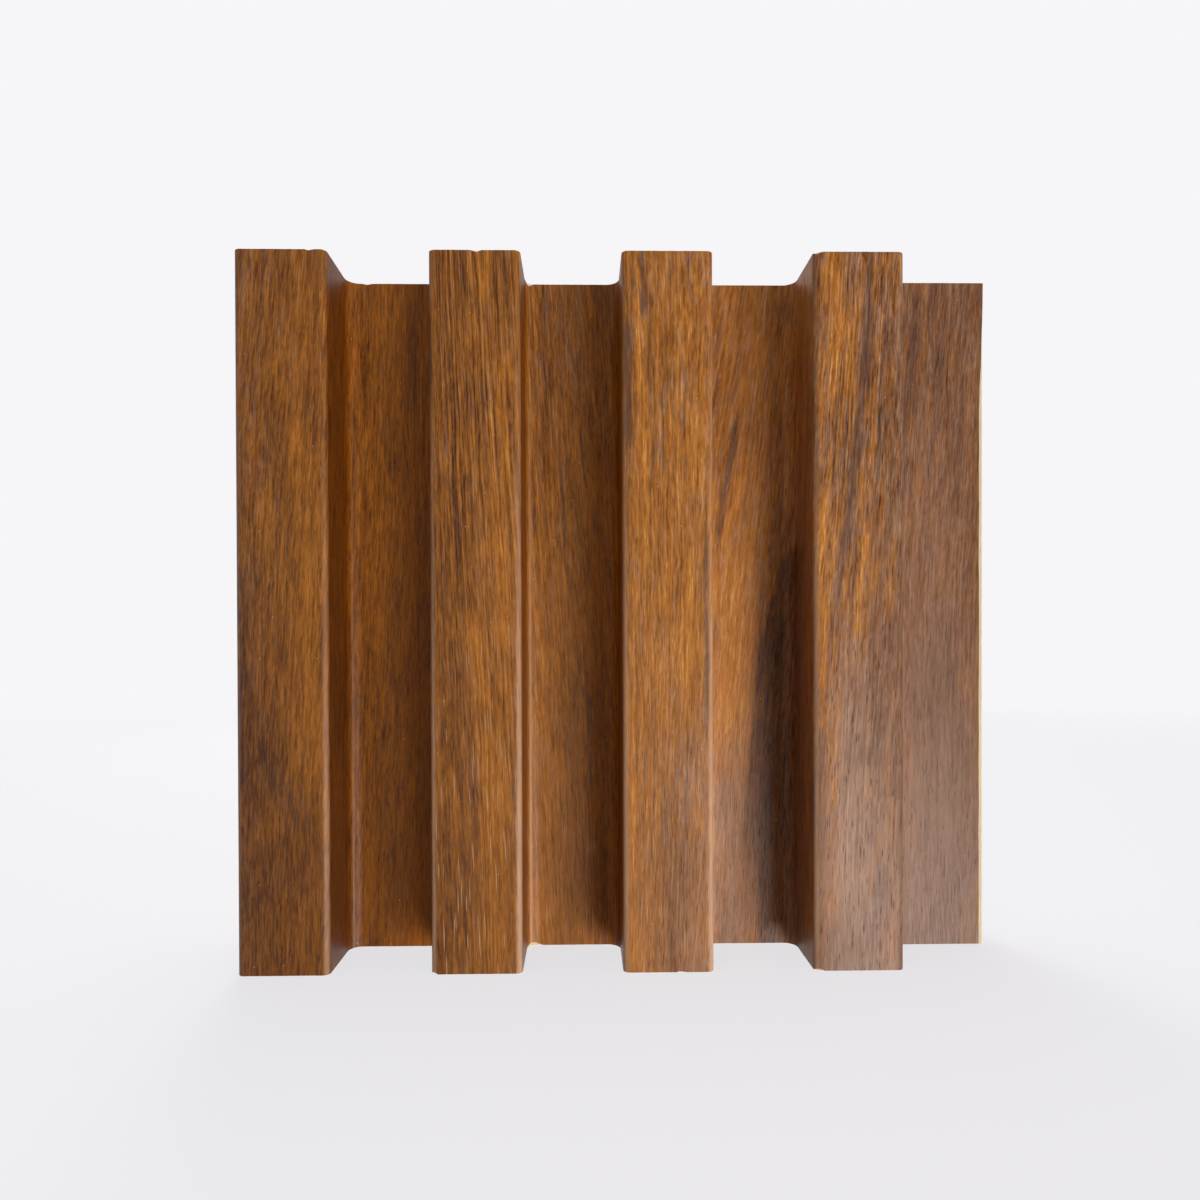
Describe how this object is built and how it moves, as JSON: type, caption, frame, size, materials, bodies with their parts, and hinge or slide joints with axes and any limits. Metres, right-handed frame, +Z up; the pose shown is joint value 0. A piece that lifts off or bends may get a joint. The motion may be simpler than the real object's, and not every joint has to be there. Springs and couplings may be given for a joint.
{
  "type": "fluted wall panel",
  "caption": "Short length of hollow fluted wall panel: square ribs, rounded groove feet, a lap flange along one side and a wood-grain front, fixed to a wall by its flat back.",
  "frame": {"origin": "middle of the flat back, halfway up the panel", "axes": "+Z up along the ribs, +X across them towards the lap flange, ribs facing -Y and the back facing +Y"},
  "size_m": [0.1628, 0.024, 0.15],
  "materials": {
    "wood_film": "satin printed wood-grain film, red-brown with dark pores",
    "panel_core": "raw pale wood-plastic, sawn at the ends"
  },
  "bodies": {
    "root": {"fluted_panel": "wood_film"}
  },
  "joints": []
}
